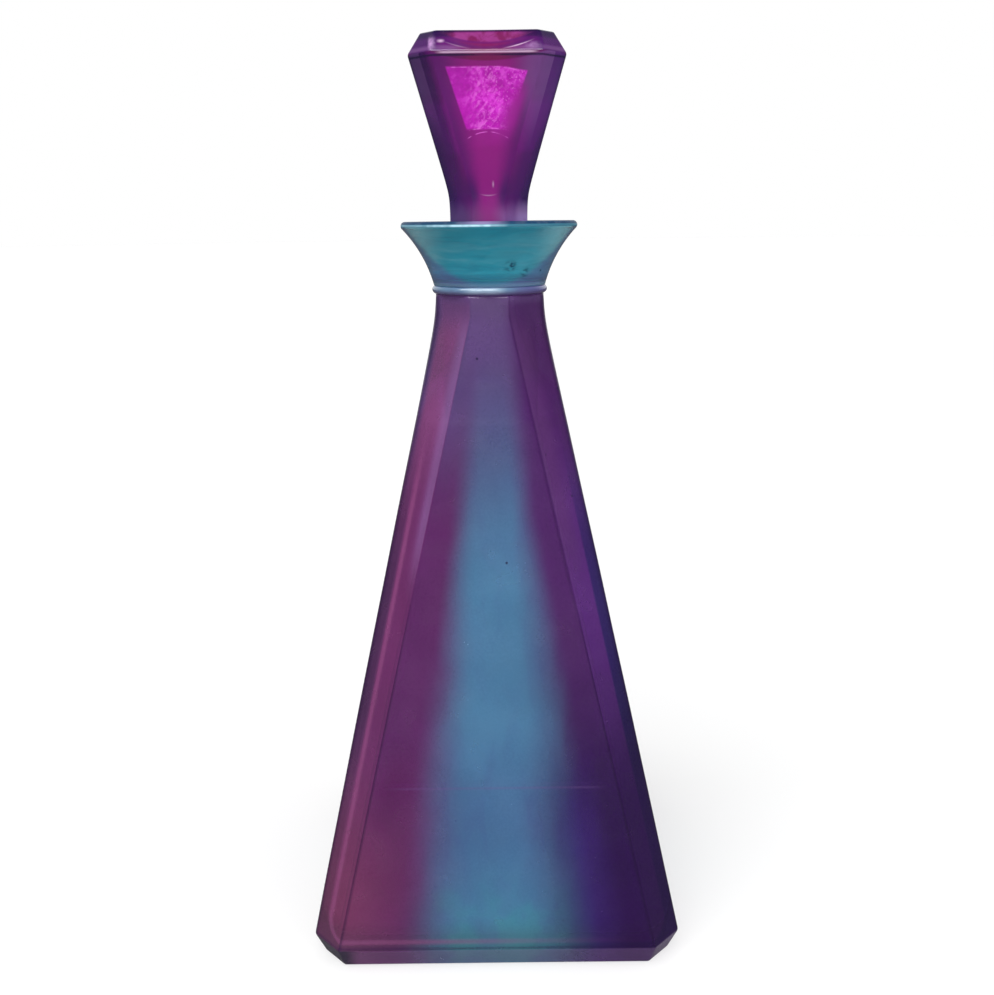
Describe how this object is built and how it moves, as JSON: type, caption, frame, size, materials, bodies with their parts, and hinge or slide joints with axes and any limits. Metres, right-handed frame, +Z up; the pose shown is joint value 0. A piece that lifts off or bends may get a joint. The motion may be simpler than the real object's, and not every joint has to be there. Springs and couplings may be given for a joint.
{
  "type": "carafe",
  "caption": "Tall glass carafe: a hollow square pyramid with cut corners, a slim neck with a thread of glass, a flared collar and a faceted ground stopper.",
  "frame": {"origin": "middle of the flat face that the carafe rests on", "axes": "+Z up along the neck and the stopper, -Y out of the main face that the picture shows, +X to its right"},
  "size_m": [0.1166, 0.1166, 0.28],
  "materials": {
    "body_glass": "sprayed and tinted, plum to blue to violet across each face, satin gloss",
    "thread_glass": "glossy blue",
    "collar_glass": "glossy teal with faint streaks",
    "stopper_glass": "solid magenta and violet glass, polished"
  },
  "bodies": {
    "vessel": {"glass_body": "body_glass", "neck_thread": "thread_glass", "collar": "collar_glass"},
    "stopper": {"stopper": "stopper_glass"}
  },
  "joints": [
    {"name": "stopper_lift", "type": "slide", "parent": "vessel", "child": "stopper", "axis": [0, 0, 1], "range_m": [0, 0.06]}
  ]
}
